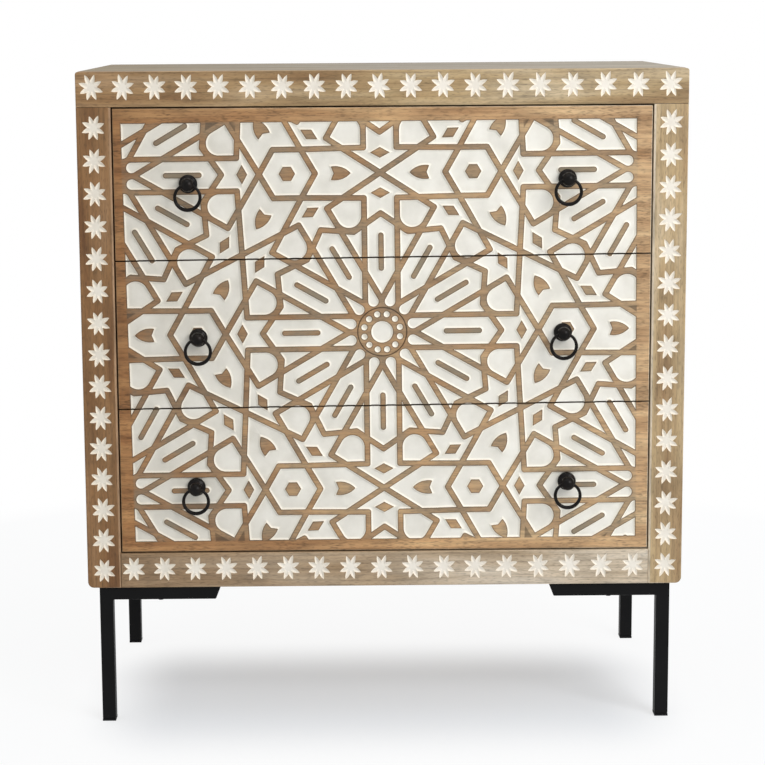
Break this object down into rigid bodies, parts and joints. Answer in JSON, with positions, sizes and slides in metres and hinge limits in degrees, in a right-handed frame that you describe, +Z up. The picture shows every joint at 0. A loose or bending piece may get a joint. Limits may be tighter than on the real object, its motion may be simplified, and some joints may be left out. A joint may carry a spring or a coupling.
{
  "type": "chest of drawers",
  "caption": "Chest of drawers with carved geometric fronts in a star-trimmed face frame, iron ring pulls and slim square-tube steel legs; drawers slide out and rings swing.",
  "frame": {"origin": "on the floor under the middle of the whole object, pulls included", "axes": "+X to the right as seen from the front, +Y from the front to the back, +Z up"},
  "size_m": [0.8, 0.4226, 0.88],
  "materials": {
    "mango_wood": "satin",
    "drawer_wood": "matte",
    "plywood": "matte",
    "blackened_iron": "satin",
    "black_steel": "matte",
    "foot_plastic": "matte"
  },
  "bodies": {
    "case": {"top_board": "mango_wood", "left_side_panel": "mango_wood", "right_side_panel": "mango_wood", "top_rail": "mango_wood", "bottom_rail": "mango_wood", "left_stile": "mango_wood", "right_stile": "mango_wood", "upper_divider": "mango_wood", "lower_divider": "mango_wood", "floor_panel": "plywood", "back_panel": "plywood", "top_left_runner": "drawer_wood", "top_right_runner": "drawer_wood", "middle_left_runner": "drawer_wood", "middle_right_runner": "drawer_wood", "bottom_left_runner": "drawer_wood", "bottom_right_runner": "drawer_wood", "front_left_leg": "black_steel", "front_left_foot": "foot_plastic", "front_right_leg": "black_steel", "front_right_foot": "foot_plastic", "rear_left_leg": "black_steel", "rear_left_foot": "foot_plastic", "rear_right_leg": "black_steel", "rear_right_foot": "foot_plastic"},
    "top_drawer": {"top_drawer_front": "mango_wood", "top_drawer_left_side": "drawer_wood", "top_drawer_right_side": "drawer_wood", "top_drawer_back": "drawer_wood", "top_drawer_bottom": "plywood", "top_left_knob": "blackened_iron", "top_left_nut": "blackened_iron", "top_right_knob": "blackened_iron", "top_right_nut": "blackened_iron"},
    "top_left_ring": {"top_left_ring": "blackened_iron"},
    "top_right_ring": {"top_right_ring": "blackened_iron"},
    "middle_drawer": {"middle_drawer_front": "mango_wood", "middle_drawer_left_side": "drawer_wood", "middle_drawer_right_side": "drawer_wood", "middle_drawer_back": "drawer_wood", "middle_drawer_bottom": "plywood", "middle_left_knob": "blackened_iron", "middle_left_nut": "blackened_iron", "middle_right_knob": "blackened_iron", "middle_right_nut": "blackened_iron"},
    "middle_left_ring": {"middle_left_ring": "blackened_iron"},
    "middle_right_ring": {"middle_right_ring": "blackened_iron"},
    "bottom_drawer": {"bottom_drawer_front": "mango_wood", "bottom_drawer_left_side": "drawer_wood", "bottom_drawer_right_side": "drawer_wood", "bottom_drawer_back": "drawer_wood", "bottom_drawer_bottom": "plywood", "bottom_left_knob": "blackened_iron", "bottom_left_nut": "blackened_iron", "bottom_right_knob": "blackened_iron", "bottom_right_nut": "blackened_iron"},
    "bottom_left_ring": {"bottom_left_ring": "blackened_iron"},
    "bottom_right_ring": {"bottom_right_ring": "blackened_iron"}
  },
  "joints": [
    {"name": "top_drawer_slide", "type": "slide", "parent": "case", "child": "top_drawer", "axis": [0, -1, 0], "range_m": [0, 0.27]},
    {"name": "top_left_ring_swing", "type": "hinge", "parent": "top_drawer", "child": "top_left_ring", "pos_m": [-0.2555, -0.20205, 0.73312], "axis": [-1, 0, 0], "range_deg": [-15, 150]},
    {"name": "top_right_ring_swing", "type": "hinge", "parent": "top_drawer", "child": "top_right_ring", "pos_m": [0.2422, -0.20205, 0.7371], "axis": [-1, 0, 0], "range_deg": [-15, 150]},
    {"name": "middle_drawer_slide", "type": "slide", "parent": "case", "child": "middle_drawer", "axis": [0, -1, 0], "range_m": [0, 0.27]},
    {"name": "middle_left_ring_swing", "type": "hinge", "parent": "middle_drawer", "child": "middle_left_ring", "pos_m": [-0.2455, -0.20205, 0.52904], "axis": [-1, 0, 0], "range_deg": [-15, 150]},
    {"name": "middle_right_ring_swing", "type": "hinge", "parent": "middle_drawer", "child": "middle_right_ring", "pos_m": [0.2375, -0.20205, 0.5329], "axis": [-1, 0, 0], "range_deg": [-15, 150]},
    {"name": "bottom_drawer_slide", "type": "slide", "parent": "case", "child": "bottom_drawer", "axis": [0, -1, 0], "range_m": [0, 0.27]},
    {"name": "bottom_left_ring_swing", "type": "hinge", "parent": "bottom_drawer", "child": "bottom_left_ring", "pos_m": [-0.2515, -0.20205, 0.32682], "axis": [-1, 0, 0], "range_deg": [-15, 150]},
    {"name": "bottom_right_ring_swing", "type": "hinge", "parent": "bottom_drawer", "child": "bottom_right_ring", "pos_m": [0.2441, -0.20205, 0.33079], "axis": [-1, 0, 0], "range_deg": [-15, 150]}
  ]
}
